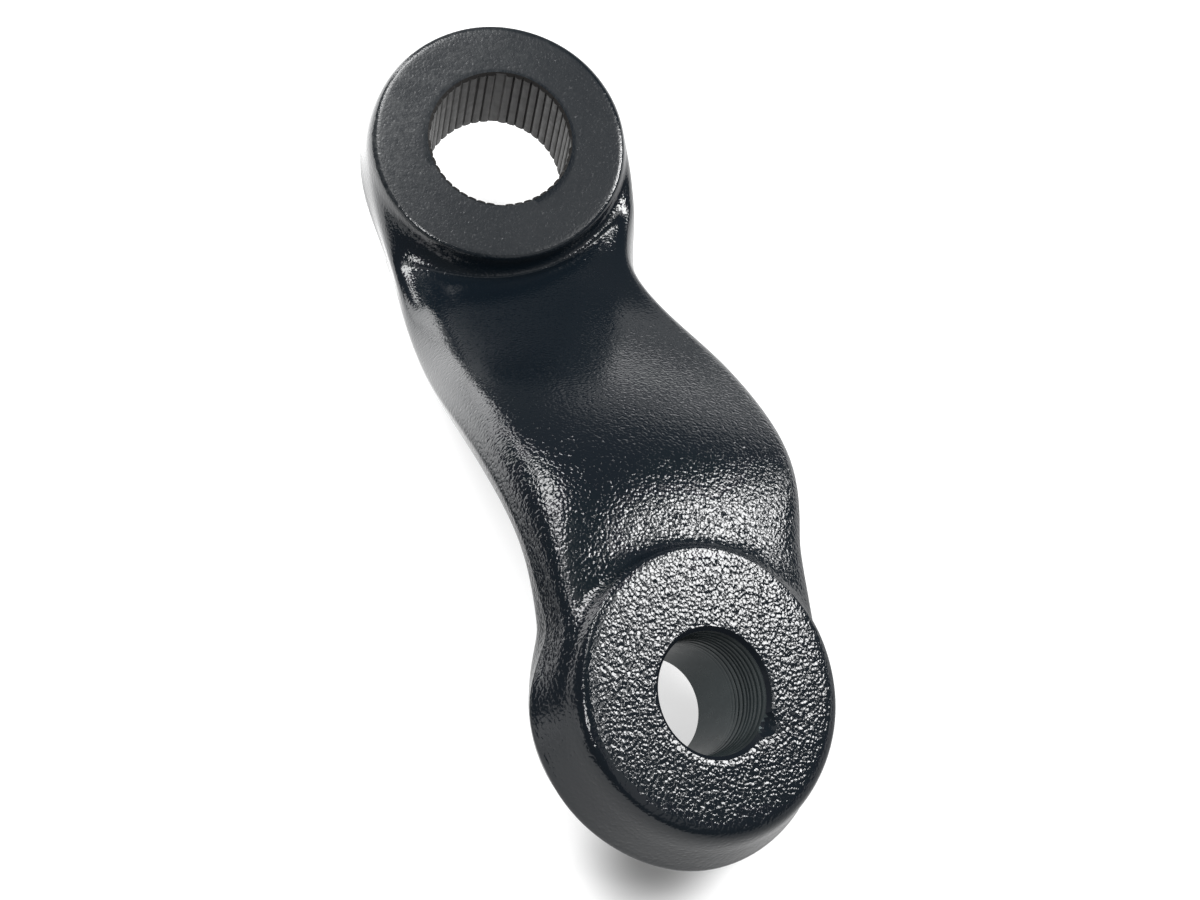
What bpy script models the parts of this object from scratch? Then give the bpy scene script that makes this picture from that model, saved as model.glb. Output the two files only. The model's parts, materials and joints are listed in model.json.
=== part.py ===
"""Dropped pitman arm: one steel forging, machined at both bosses, lying as it comes to rest.

The arm is laid out in its own frame, in millimetres: the shaft boss's nut face is the plane z = 0
with the sector shaft along Z, and the ball-stud boss lies towards -Y, raised by the drop. The
forging is a control cage under a Subdivision Surface, with its edge loops on the face edges, the
wall tops, the web's fillets and the parting line. The two bores are then cut, and the whole arm is
laid down on the hull facet that it would rest on.
"""
from collections import namedtuple
import math

import bmesh
import bpy
import numpy as np
from mathutils import Matrix, Vector

MM = 0.001

# Layout of the two bosses
CENTRE_DISTANCE = 171.0
DROP = 84.0
STUD_ROLL = 18.6

# Shaft boss. The walls lean out from the face's edge to the parting line. The face's edge is tight
# on the side of the web and softer away from it, where the wall also stands out a little more.
SHAFT_WALL_RADIUS = 37.8
SHAFT_SOFT_WALL_RADIUS = 38.4
SHAFT_PARTING_RADIUS = 40.4
SHAFT_THICKNESS = 34.0
SHAFT_EDGE = 3.2
SHAFT_SOFT_EDGE = 4.8
SHAFT_SOFT_STEP = 7.2
SHAFT_OFF_BORE = (-0.4, -0.2)

# Ball-stud boss
STUD_WALL_RADIUS = 31.4
STUD_SOFT_WALL_RADIUS = 34.3
STUD_PARTING_RADIUS = 37.7
STUD_THICKNESS = 28.5
STUD_EDGE = 3.2
STUD_SOFT_EDGE = 6.4
STUD_SOFT_STEP = 9.0
STUD_OFF_BORE = (0.5, 1.4)

# Where the web meets a boss, from one side of the web to the other (counter-clockwise): depth of
# its top below the face, and reach of the fillet past the wall there and at the parting line
SHAFT_STEPS = (7.4, 6.8, 6.2, 5.2, 4.0, 3.8)
SHAFT_TOP_FEET = (8.4, 4.2, 2.8, 2.2, 2.4, 5.0)
SHAFT_FEET = (7.0, 4.0, 3.6, 3.8, 4.4, 6.4)
STUD_STEPS = (5.0, 5.0, 5.0, 5.0, 5.0, 5.0)
STUD_TOP_FEET = (12.4, 1.8, 0.8, 0.7, 1.8, 2.4)
STUD_FEET = (15.0, 3.0, 2.4, 2.2, 2.4, 2.0)

# Web between the bosses, at five stations: reach to both sides and drop of its two top edges
WEB_LEFT_REACH = (37.2, 37.7, 36.3, 33.9, 31.0)
WEB_RIGHT_REACH = (26.0, 30.0, 36.0, 39.6, 40.2)
WEB_LEFT_DROP = (9.0, 7.6, 5.6, 4.6, 4.6)
WEB_RIGHT_DROP = (1.6, 1.4, 1.0, 0.8, 0.8)
WEB_THICKNESS_SHAFT_END = 24.5
WEB_THICKNESS_STUD_END = 22.5
WEB_SIDE_CROWN = 2.6

# Shares: corners across the web's half width, how much steeper the web starts, and how close to a
# boss the section lies that keeps the fillet there tight
WEB_SPREAD = (-1.0, -0.80, -0.30, 0.34, 0.88, 1.0)
WEB_START_SLOPE = 0.45
COLLAR_SHARE = 0.18

# Splined bore: 48 places with a tooth left out every quarter turn, on the shaft's 1 in 16 taper
SPLINE_PLACES = 48
SPLINE_MASTERS = 4
SPLINE_CREST_RADIUS = 20.3
SPLINE_TOOTH_DEPTH = 0.8
SPLINE_TAPER = 1.0 / 16.0
SPLINE_MASTER_ANGLE = -103.6
SPLINE_CHAMFER = 0.3
TOOTH_SHARE = 0.37
GROOVE_SHARE = 0.05
CREST_ROUNDING = 0.16

# Tapered ball-stud bore, widest at the front face
STUD_BORE_RADIUS = 13.5
STUD_BORE_TAPER = 1.0 / 8.0
STUD_BORE_CHAMFER = 1.0
BORE_SEGMENTS = 64

# Cage resolution round a boss, and how many of its corners on each side of the middle face the web
RING_CORNER_COUNT = 16
WEB_CORNER_COUNT = 3
INNER_RING_SHARE = 0.36
INSET_SHARE = 0.1
SOFT_INSET_SHARE = 0.34
TIGHT_SIDE_DEGREES = 50.0
SOFT_SIDE_DEGREES = 110.0
SUBDIVISION_LEVELS = 2
KEPT_FACETS = 0.5
PARTING_CREASE = 0.55
CUT_MARGIN = 3.0
HULL_TOLERANCE = 1e-9

ARM_COLOUR = (0.012, 0.013, 0.016, 1.0)
ARM_ROUGHNESS = 0.32

# Index of a boss's rings at the web's top, at the parting line and at the web's underside
STEP_RING_COUNT, PARTING_RING_COUNT, BACK_STEP_RING_COUNT = 4, 5, 6

Boss = namedtuple("Boss", "wall soft_wall parting thickness edge soft_edge soft_step steps"
                          " top_feet feet off_bore web_angle centre turn")


def clear_scene():
    """Removes every object, so that the script gives the same result in any file."""
    for obj in list(bpy.data.objects):
        bpy.data.objects.remove(obj, do_unlink=True)


def turned_about_y(degrees):
    """Rotation about the Y axis as a 3 x 3 array."""
    angle = math.radians(degrees)
    return np.array([[math.cos(angle), 0.0, math.sin(angle)],
                     [0.0, 1.0, 0.0],
                     [-math.sin(angle), 0.0, math.cos(angle)]])


def spline_polygon_factor(corners):
    """A cubic B-spline ring lies inside its corner polygon: this factor brings it out to size."""
    return 6.0 / (4.0 + 2.0 * math.cos(2.0 * math.pi / corners))


def bosses():
    """The shaft boss and the ball-stud boss, each with its place in the arm."""
    shaft = Boss(SHAFT_WALL_RADIUS, SHAFT_SOFT_WALL_RADIUS, SHAFT_PARTING_RADIUS, SHAFT_THICKNESS,
                 SHAFT_EDGE, SHAFT_SOFT_EDGE, SHAFT_SOFT_STEP, SHAFT_STEPS, SHAFT_TOP_FEET,
                 SHAFT_FEET, SHAFT_OFF_BORE, -math.pi / 2.0, np.zeros(3), np.eye(3))
    stud = Boss(STUD_WALL_RADIUS, STUD_SOFT_WALL_RADIUS, STUD_PARTING_RADIUS, STUD_THICKNESS,
                STUD_EDGE, STUD_SOFT_EDGE, STUD_SOFT_STEP, STUD_STEPS, STUD_TOP_FEET,
                STUD_FEET, STUD_OFF_BORE, math.pi / 2.0,
                np.array([0.0, -CENTRE_DISTANCE, DROP]), turned_about_y(STUD_ROLL))
    return shaft, stud


def smooth_step(t):
    """Runs from 0 to 1 with level ends."""
    return t * t * (3.0 - 2.0 * t)


def blended(tight, soft, away):
    """Value between the one on the web's side and the one away from it."""
    return tight + (soft - tight) * away


def boss_profile(boss, away):
    """Radius and height of the cage's rings, from the front face down to the back face.

    The share away is 0 on the web's side of the boss and 1 on the side away from it.
    """
    half = boss.thickness / 2.0
    wall = blended(boss.wall, boss.soft_wall, away)
    edge = blended(boss.edge, boss.soft_edge, away)
    step = blended(boss.steps[0], boss.soft_step, away)
    inset = edge * blended(INSET_SHARE, SOFT_INSET_SHARE, away)
    step_radius = wall + (boss.parting - wall) * (step - edge) / (half - edge)
    upper = [((wall - edge) * INNER_RING_SHARE, 0.0),
             (wall - edge, 0.0),
             (wall - inset, 0.0),
             (wall, -edge),
             (step_radius, -step)]
    lower = [(radius, -boss.thickness - height) for radius, height in reversed(upper)]
    return np.array(upper + [(boss.parting, -half)] + lower)


def placed_in_arm(boss, local):
    """Turns positions from a boss's own frame to the arm's."""
    return np.asarray(local) @ boss.turn.T + boss.centre


def boss_rings(boss):
    """Corners of a boss's rings, shape (rings, corners, 3), in the arm's frame.

    Corner 0 is the first one counter-clockwise of the web's middle. The corners that face the web
    stand out by the fillet's reach on the rings at and between the two steps.
    """
    count = RING_CORNER_COUNT
    from_web = (np.arange(count) + 0.5) * 2.0 * math.pi / count
    way_round = np.degrees(np.arccos(np.cos(from_web)))
    share = (way_round - TIGHT_SIDE_DEGREES) / (SOFT_SIDE_DEGREES - TIGHT_SIDE_DEGREES)
    profiles = np.array([boss_profile(boss, away) for away in smooth_step(np.clip(share, 0.0, 1.0))])
    radii, heights = profiles[:, :, 0].T.copy(), profiles[:, :, 1].T.copy()
    facing = np.arange(-WEB_CORNER_COUNT, WEB_CORNER_COUNT)
    radii[[[STEP_RING_COUNT], [BACK_STEP_RING_COUNT]], facing] = boss.wall + np.array(boss.top_feet)
    radii[PARTING_RING_COUNT, facing] = boss.wall + np.array(boss.feet)
    heights[STEP_RING_COUNT, facing] = -np.array(boss.steps)
    heights[BACK_STEP_RING_COUNT, facing] = np.array(boss.steps) - boss.thickness
    radii *= spline_polygon_factor(count)
    angles = boss.web_angle + from_web
    local = np.stack([radii * np.cos(angles), radii * np.sin(angles), heights], axis=2)
    return placed_in_arm(boss, local + (*boss.off_bore, 0.0))


def web_loops(neck_near, neck_far):
    """Cross-sections of the web between the two bosses, shape (stations, corners, 3).

    A section goes across the top, down the right side, back along the bottom and up the left. It
    leans with the slope of the S-shaped centre line, rolls with the stud boss, and its corners
    stay back or run ahead along Y so that the end sections follow the bosses' round walls. A collar
    close to each boss keeps the fillet there tight.
    """
    start_y = neck_near[:, 1].min()
    end_y = neck_far[:, 1].max()
    start_z = -SHAFT_THICKNESS / 2.0
    rise = DROP - STUD_THICKNESS / 2.0 - start_z
    end_bow = (neck_near[0, 1] + neck_near[len(WEB_SPREAD) - 1, 1]) / 2.0 - start_y
    across = np.array(WEB_SPREAD)
    loops = []
    for station, left in enumerate(WEB_LEFT_REACH):
        right = WEB_RIGHT_REACH[station]
        t = (station + 1.0) / (len(WEB_LEFT_REACH) + 1.0)
        blend = smooth_step(t) + WEB_START_SLOPE * t * (1.0 - t) ** 2
        centre = np.array([(right - left) / 2.0, start_y + (end_y - start_y) * t, start_z + rise * blend])
        climb = 6.0 * t * (1.0 - t) + WEB_START_SLOPE * (1.0 - t) * (1.0 - 3.0 * t)
        slope = rise * climb / (end_y - start_y)
        roll = math.radians(STUD_ROLL) * blend
        up = np.array([0.0, -slope, 1.0]) / math.hypot(slope, 1.0)
        up = up * math.cos(roll) + np.array([math.sin(roll), 0.0, 0.0])
        up = up / np.linalg.norm(up)
        side = turned_about_y(STUD_ROLL * blend)[:, 0]
        side = side - up * (side @ up)
        side = side / np.linalg.norm(side)
        width = (right + left) / 2.0
        thick = WEB_THICKNESS_SHAFT_END + (WEB_THICKNESS_STUD_END - WEB_THICKNESS_SHAFT_END) * t
        drop = np.where(across < 0.0, WEB_LEFT_DROP[station], WEB_RIGHT_DROP[station])
        face = np.outer(thick / 2.0 - drop * across ** 6, up)
        bow = end_bow * max(1.0 - 2.0 * t, 0.0) * (1.0 - t) ** 2
        bow -= end_bow * max(2.0 * t - 1.0, 0.0) * t ** 2
        along = np.outer(across ** 2 * bow, (0.0, 1.0, 0.0))
        row = centre + np.outer(across * width, side) + along
        end = side * (width + WEB_SIDE_CROWN)
        edge_bow = np.array([0.0, bow, 0.0])
        loops.append(np.vstack([row + face, centre + end + edge_bow,
                                (row - face)[::-1], centre - end + edge_bow]))
    near_collar = neck_near + (loops[0] - neck_near) * COLLAR_SHARE
    far_collar = neck_far + (loops[-1] - neck_far) * COLLAR_SHARE
    return np.array([near_collar, *loops, far_collar])


def opening_loop(ids, mirrored):
    """Indices of the ring corners round a boss's opening for the web, in a section's order."""
    order = [*range(RING_CORNER_COUNT - WEB_CORNER_COUNT, RING_CORNER_COUNT), *range(WEB_CORNER_COUNT)]
    if mirrored:
        order.reverse()
    top = [ids[STEP_RING_COUNT, k] for k in order]
    bottom = [ids[BACK_STEP_RING_COUNT, k] for k in reversed(order)]
    return top + [ids[PARTING_RING_COUNT, order[-1]]] + bottom + [ids[PARTING_RING_COUNT, order[0]]]


def boss_faces(ids, top_pole, bottom_pole):
    """Quads between a boss's rings, fans at its poles, and none where the web opens."""
    faces = []
    count = RING_CORNER_COUNT
    open_corners = set(range(count - WEB_CORNER_COUNT, count)) | set(range(WEB_CORNER_COUNT - 1))
    for k in range(count):
        after = (k + 1) % count
        faces.append((top_pole, ids[0, k], ids[0, after]))
        faces.append((bottom_pole, ids[-1, after], ids[-1, k]))
        for ring in range(len(ids) - 1):
            if k in open_corners and ring in (STEP_RING_COUNT, PARTING_RING_COUNT):
                continue
            faces.append((ids[ring, k], ids[ring + 1, k], ids[ring + 1, after], ids[ring, after]))
    return faces


def forging_cage():
    """Corner positions, faces and parting-line corners of the whole forging's cage."""
    shaft, stud = (boss_rings(boss) for boss in bosses())
    poles = np.vstack([placed_in_arm(boss, [(*boss.off_bore, 0.0), (*boss.off_bore, -boss.thickness)])
                       for boss in bosses()])
    per_boss = shaft.shape[0] * shaft.shape[1]
    shaft_ids = np.arange(per_boss).reshape(shaft.shape[:2])
    stud_ids = shaft_ids + per_boss
    pole_ids = 2 * per_boss + np.arange(4)
    corners = np.vstack([shaft.reshape(-1, 3), stud.reshape(-1, 3), poles])
    near = opening_loop(shaft_ids, mirrored=False)
    far = opening_loop(stud_ids, mirrored=True)
    loops = web_loops(corners[near], corners[far])
    loop_ids = len(corners) + np.arange(loops.shape[0] * loops.shape[1]).reshape(loops.shape[:2])
    corners = np.vstack([corners, loops.reshape(-1, 3)])
    rows = [near, *loop_ids.tolist(), far]
    faces = boss_faces(shaft_ids, pole_ids[0], pole_ids[1])
    faces += boss_faces(stud_ids, pole_ids[2], pole_ids[3])
    for row, following in zip(rows[:-1], rows[1:]):
        for k in range(len(row)):
            after = (k + 1) % len(row)
            faces.append((row[k], following[k], following[after], row[after]))
    right = 2 * WEB_CORNER_COUNT
    parting = {int(row[right]) for row in rows} | {int(row[-1]) for row in rows}
    free = range(WEB_CORNER_COUNT - 1, RING_CORNER_COUNT - WEB_CORNER_COUNT + 1)
    for ids in (shaft_ids, stud_ids):
        parting |= {int(ids[PARTING_RING_COUNT, k]) for k in free}
    return corners, [[int(i) for i in face] for face in faces], parting


def mesh_object(name, corners, faces):
    """Makes a mesh object from positions in millimetres, its faces pointing out."""
    mesh = bpy.data.meshes.new(name)
    mesh.from_pydata([tuple(corner * MM) for corner in np.asarray(corners)], [], faces)
    work = bmesh.new()
    work.from_mesh(mesh)
    bmesh.ops.delete(work, geom=[v for v in work.verts if not v.link_faces], context='VERTS')
    bmesh.ops.recalc_face_normals(work, faces=work.faces)
    work.to_mesh(mesh)
    work.free()
    obj = bpy.data.objects.new(name, mesh)
    bpy.context.collection.objects.link(obj)
    return obj


def forging():
    """The forged arm before machining: the cage, its parting crease and its subdivision."""
    corners, faces, parting = forging_cage()
    arm = mesh_object("pitman_arm", corners, faces)
    kept = sorted({i for face in faces for i in face})
    on_parting = [i in parting for i in kept]
    crease = arm.data.attributes.new("crease_edge", 'FLOAT', 'EDGE')
    for edge in arm.data.edges:
        if all(on_parting[i] for i in edge.vertices):
            crease.data[edge.index].value = PARTING_CREASE
    smooth = arm.modifiers.new("forged form", 'SUBSURF')
    smooth.levels = SUBDIVISION_LEVELS
    smooth.render_levels = SUBDIVISION_LEVELS
    fewer = arm.modifiers.new("fewer facets on the flats", 'DECIMATE')
    fewer.ratio = KEPT_FACETS
    return arm


def turned(name, profile, segments):
    """Solid of revolution about Z from a closed run of (radius, height) points, in millimetres."""
    angles = np.arange(segments) * 2.0 * math.pi / segments
    radii = np.array([point[0] for point in profile])
    heights = np.array([point[1] for point in profile])
    rings = np.stack([np.outer(radii, np.cos(angles)), np.outer(radii, np.sin(angles)),
                      np.repeat(heights[:, None], segments, axis=1)], axis=2)
    return stacked_rings(name, rings)


def stacked_rings(name, rings):
    """Closes rings of corners into a solid, with a flat cap at each end."""
    count = rings.shape[1]
    ids = np.arange(rings.shape[0] * count).reshape(rings.shape[:2])
    faces = [ids[0].tolist(), ids[-1][::-1].tolist()]
    for low, high in zip(ids[:-1], ids[1:]):
        for k in range(count):
            after = (k + 1) % count
            faces.append([int(low[k]), int(high[k]), int(high[after]), int(low[after])])
    return mesh_object(name, rings.reshape(-1, 3), faces)


def spline_section():
    """Polar outline of the splined bore at the shaft boss's nut face, as angles and radii.

    Each place has a tooth with a slightly rounded crest between two narrow grooves. Every quarter
    turn the tooth is left out, which leaves a wide groove for the shaft's master spline.
    """
    pitch = 2.0 * math.pi / SPLINE_PLACES
    first = math.radians(SPLINE_MASTER_ANGLE)
    root = SPLINE_CREST_RADIUS + SPLINE_TOOTH_DEPTH
    angles, radii = [], []
    for place in range(SPLINE_PLACES):
        middle = first + place * pitch
        if place % (SPLINE_PLACES // SPLINE_MASTERS):
            angles += [middle - TOOTH_SHARE * pitch, middle, middle + TOOTH_SHARE * pitch]
            shoulder = SPLINE_CREST_RADIUS + CREST_ROUNDING
            radii += [shoulder, SPLINE_CREST_RADIUS, shoulder]
        half = pitch / 2.0
        angles += [middle + half - GROOVE_SHARE * pitch, middle + half + GROOVE_SHARE * pitch]
        radii += [root, root]
    return np.array(angles), np.array(radii)


def spline_cutter():
    """Tapered splined plug, wider at the back, that cuts the shaft boss's bore."""
    angles, radii = spline_section()
    rings = []
    for height in (CUT_MARGIN, -SHAFT_THICKNESS - CUT_MARGIN):
        grown = radii - height * SPLINE_TAPER / 2.0
        rings.append(np.stack([grown * np.cos(angles), grown * np.sin(angles),
                               np.full(len(angles), height)], axis=1))
    return stacked_rings("spline cutter", np.array(rings))


def mouth_cutters():
    """Cones that chamfer the splined bore at the nut face and at the back."""
    root = SPLINE_CREST_RADIUS + SPLINE_TOOTH_DEPTH
    cutters = []
    for name, face, outward in (("nut face chamfer", 0.0, 1.0), ("back chamfer", -SHAFT_THICKNESS, -1.0)):
        rim = root - face * SPLINE_TAPER / 2.0 + SPLINE_CHAMFER
        depth = SPLINE_CHAMFER + SPLINE_TOOTH_DEPTH + CUT_MARGIN
        profile = [(rim + CUT_MARGIN, face + outward * CUT_MARGIN),
                   (rim - depth, face - outward * depth)]
        cutters.append(turned(name, profile, SPLINE_PLACES * 2))
    return cutters


def stud_bore_cutter():
    """Tapered plug for the ball stud with the chamfers at both mouths, in the boss's frame."""
    far = -STUD_THICKNESS
    far_radius = STUD_BORE_RADIUS + far * STUD_BORE_TAPER / 2.0
    chamfer = STUD_BORE_CHAMFER
    profile = [(STUD_BORE_RADIUS + chamfer + CUT_MARGIN, CUT_MARGIN),
               (STUD_BORE_RADIUS, -chamfer),
               (far_radius, far + chamfer),
               (far_radius + chamfer + CUT_MARGIN, far - CUT_MARGIN)]
    cutter = turned("stud bore cutter", profile, BORE_SEGMENTS)
    cutter.location = Vector((0.0, -CENTRE_DISTANCE, DROP)) * MM
    cutter.rotation_euler = (0.0, math.radians(STUD_ROLL), 0.0)
    return cutter


def machine(arm, holder):
    """Cuts both bores out of the forging."""
    for cutter in [spline_cutter(), *mouth_cutters(), stud_bore_cutter()]:
        cutter.hide_render = True
        cutter.display_type = 'WIRE'
        cutter.parent = holder
        cut = arm.modifiers.new(cutter.name, 'BOOLEAN')
        cut.operation = 'DIFFERENCE'
        cut.solver = 'EXACT'
        cut.object = cutter


def finish_material(arm):
    """Gloss black powder coat."""
    material = bpy.data.materials.new("black powder coat")
    material.use_nodes = True
    shader = material.node_tree.nodes["Principled BSDF"]
    shader.inputs["Base Color"].default_value = ARM_COLOUR
    shader.inputs["Roughness"].default_value = ARM_ROUGHNESS
    shader.inputs["Metallic"].default_value = 0.0
    arm.data.materials.append(material)
    arm.data.shade_smooth()
    arm.data.set_sharp_from_angle(angle=math.radians(32.0))


def centre_of_mass(corners, triangles):
    """Volume centroid of a closed triangle mesh."""
    a, b, c = (corners[triangles[:, i]] for i in range(3))
    volumes = np.einsum('ij,ij->i', a, np.cross(b, c)) / 6.0
    return ((a + b + c) / 4.0 * volumes[:, None]).sum(axis=0) / volumes.sum()


def resting_down_direction(corners, triangles):
    """Outward normal of the hull facet that the arm rests on, backs down.

    It rests on a facet of its convex hull that has the centre of mass straight above its inside.
    Of those, the one wanted faces away from both bosses' front faces.
    """
    mass = centre_of_mass(corners, triangles)
    hull = bmesh.new()
    for corner in corners:
        hull.verts.new(corner)
    made = bmesh.ops.convex_hull(hull, input=hull.verts, use_existing_faces=False)
    best_normal, best_score = Vector((0.0, 0.0, -1.0)), -2.0
    wanted = Vector((0.0, -DROP, -CENTRE_DISTANCE)).normalized()
    for face in (item for item in made["geom"] if isinstance(item, bmesh.types.BMFace)):
        normal = face.normal.copy()
        middle = face.calc_center_median()
        if normal.dot(middle - Vector(mass)) < 0.0:
            normal.negate()
        points = [v.co.copy() for v in face.verts]
        below = Vector(mass) + normal * normal.dot(middle - Vector(mass))
        sides = [(q - p).cross(below - p).dot(normal) for p, q in zip(points, points[1:] + points[:1])]
        inside = all(s >= -HULL_TOLERANCE for s in sides) or all(s <= HULL_TOLERANCE for s in sides)
        if inside and normal.dot(wanted) > best_score:
            best_normal, best_score = normal, normal.dot(wanted)
    hull.free()
    return best_normal


def lay_down(arm, holder):
    """Turns and moves the holder so that the arm rests on z = 0, small end towards -Y."""
    evaluated = arm.evaluated_get(bpy.context.evaluated_depsgraph_get())
    mesh = evaluated.to_mesh()
    mesh.calc_loop_triangles()
    corners = np.array([tuple(v.co) for v in mesh.vertices])
    triangles = np.array([tuple(t.vertices) for t in mesh.loop_triangles])
    evaluated.to_mesh_clear()
    up = -resting_down_direction(corners, triangles)
    towards_shaft = Vector((0.0, CENTRE_DISTANCE, -DROP))
    along = (towards_shaft - up * towards_shaft.dot(up)).normalized()
    across = along.cross(up)
    turn = Matrix((across, along, up))
    placed = corners @ np.array(turn).T
    low, high = placed.min(axis=0), placed.max(axis=0)
    shift = Vector((-(low[0] + high[0]) / 2.0, -(low[1] + high[1]) / 2.0, -low[2]))
    holder.matrix_world = Matrix.Translation(shift) @ turn.to_4x4()


def build():
    """Builds the whole arm."""
    clear_scene()
    holder = bpy.data.objects.new("lying frame", None)
    bpy.context.collection.objects.link(holder)
    arm = forging()
    arm.parent = holder
    finish_material(arm)
    machine(arm, holder)
    bpy.context.view_layer.update()
    lay_down(arm, holder)
    bpy.context.view_layer.update()


build()
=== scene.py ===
"""Looks of the dropped pitman arm: a gloss black, powder-coated forging lying on a pale floor.

The arm is worked out in its own frame, in millimetres: the shaft boss's nut face is the plane
z = 0 with the sector shaft along Z, and the ball-stud boss lies towards -Y, raised by the drop.
The frame's own record then says how the arm lies in the world.
"""
from __future__ import annotations

import json
import logging
import math
from dataclasses import dataclass, field
from enum import Enum

import bmesh
import bpy
import numpy as np
from mathutils import Matrix, Vector

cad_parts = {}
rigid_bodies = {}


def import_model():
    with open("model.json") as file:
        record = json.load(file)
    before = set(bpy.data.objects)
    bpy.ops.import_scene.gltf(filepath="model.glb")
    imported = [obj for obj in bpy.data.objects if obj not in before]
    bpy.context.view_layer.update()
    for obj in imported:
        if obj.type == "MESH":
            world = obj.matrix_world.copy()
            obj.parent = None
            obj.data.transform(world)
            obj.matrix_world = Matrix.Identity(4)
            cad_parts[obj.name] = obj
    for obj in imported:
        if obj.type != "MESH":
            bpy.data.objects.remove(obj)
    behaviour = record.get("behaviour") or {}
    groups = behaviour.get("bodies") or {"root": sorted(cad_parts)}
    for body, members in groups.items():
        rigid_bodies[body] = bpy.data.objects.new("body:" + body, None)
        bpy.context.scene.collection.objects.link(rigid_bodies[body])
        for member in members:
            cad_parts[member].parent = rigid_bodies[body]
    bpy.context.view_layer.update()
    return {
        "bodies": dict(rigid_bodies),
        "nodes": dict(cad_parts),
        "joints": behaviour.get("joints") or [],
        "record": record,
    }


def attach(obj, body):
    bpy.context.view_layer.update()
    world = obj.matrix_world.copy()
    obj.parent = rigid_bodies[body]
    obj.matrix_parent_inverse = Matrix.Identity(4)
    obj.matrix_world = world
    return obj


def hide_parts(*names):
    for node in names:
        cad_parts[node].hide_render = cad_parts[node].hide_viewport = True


LOG = logging.getLogger("pitman_arm")
MM = 0.001
FLASH_REACH = 1.3
FLASH_STAND = 0.35
CUT_MARGIN = 3.0

Pair = tuple[float, float]
Triple = tuple[float, float, float]
Values = tuple[float, ...]
Faces = list[list[int]]
Socket = bpy.types.NodeSocket


class Region(Enum):
    """Material slots of the arm's mesh, in order."""

    COAT = 0
    SPLINE = 1
    TAPER = 2
    # The ball-stud bore's rims, near-black as painted shade.
    PAINTED_SHADE_RIM = 3


def turned_about_y(degrees: float) -> np.ndarray:
    """Rotation about the Y axis as a 3 x 3 array.

    Args:
        degrees: Angle, from +Z towards +X.

    Returns:
        The rotation.
    """
    angle = math.radians(degrees)
    return np.array([[math.cos(angle), 0.0, math.sin(angle)],
                     [0.0, 1.0, 0.0],
                     [-math.sin(angle), 0.0, math.cos(angle)]])


def smooth_step(t: np.ndarray | float) -> np.ndarray | float:
    """Runs from 0 to 1 with level ends: 3 t squared less 2 t cubed."""
    return t * t * (3.0 - 2.0 * t)


def soft_mask(value: np.ndarray, start: float, end: float) -> np.ndarray:
    """Mask that runs smoothly from 0 at start to 1 at end."""
    return smooth_step(np.clip((value - start) / (end - start), 0.0, 1.0))


def ring_faces(ids: np.ndarray) -> Faces:
    """Quads between neighbouring rows of a grid of indices that closes on itself sideways.

    Args:
        ids: Indices of the grid's points, shape (rows, columns).

    Returns:
        Corner indices of every quad.
    """
    after = np.roll(ids, -1, axis=1)
    quads = np.stack([ids[:-1], ids[1:], after[1:], after[:-1]], axis=-1)
    return quads.reshape(-1, 4).tolist()


def polar_rings(radii: np.ndarray, heights: np.ndarray, angles: np.ndarray) -> np.ndarray:
    """Rings of points at (r cos a, r sin a, h), shape (rings, angles, 3)."""
    rings = [radii * np.cos(angles), radii * np.sin(angles), heights + 0.0 * angles]
    return np.stack(rings, axis=2)


def linked(name: str, data: bpy.types.ID) -> bpy.types.Object:
    """Makes an object from its data and links it into the scene.

    Args:
        name: Name of the object.
        data: Its mesh, lamp or camera data.

    Returns:
        The linked object.
    """
    obj = bpy.data.objects.new(name, data)
    bpy.context.scene.collection.objects.link(obj)
    return obj


def mesh_object(name: str, points: np.ndarray, faces: Faces) -> bpy.types.Object:
    """Makes a mesh object from positions, with its faces pointing out and no loose points.

    Args:
        name: Name of the object and its mesh.
        points: Positions, shape (points, 3).
        faces: Corner indices of every face.

    Returns:
        The linked object.
    """
    mesh = bpy.data.meshes.new(name)
    mesh.from_pydata(np.asarray(points, dtype=float).tolist(), [], faces)
    work = bmesh.new()
    work.from_mesh(mesh)
    bmesh.ops.delete(work, geom=[v for v in work.verts if not v.link_faces], context='VERTS')
    bmesh.ops.recalc_face_normals(work, faces=work.faces)
    work.to_mesh(mesh)
    work.free()
    return linked(name, mesh)


def evaluated_copy(obj: bpy.types.Object) -> bpy.types.Mesh:
    """The object's mesh with its modifiers applied, as a mesh of its own.

    Args:
        obj: Object with live modifiers.

    Returns:
        The new mesh.
    """
    bpy.context.view_layer.update()
    graph = bpy.context.evaluated_depsgraph_get()
    return bpy.data.meshes.new_from_object(obj.evaluated_get(graph), depsgraph=graph)


def vectors(items: bpy.types.bpy_prop_collection, key: str) -> np.ndarray:
    """Reads one vector of every item in a mesh's list, shape (items, 3).

    Args:
        items: The mesh's vertices, normals or faces.
        key: Name of the vector to read.

    Returns:
        The vectors.
    """
    flat = np.empty(len(items) * 3, dtype=np.float32)
    items.foreach_get(key, flat)
    return flat.reshape(-1, 3).astype(float)


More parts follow.
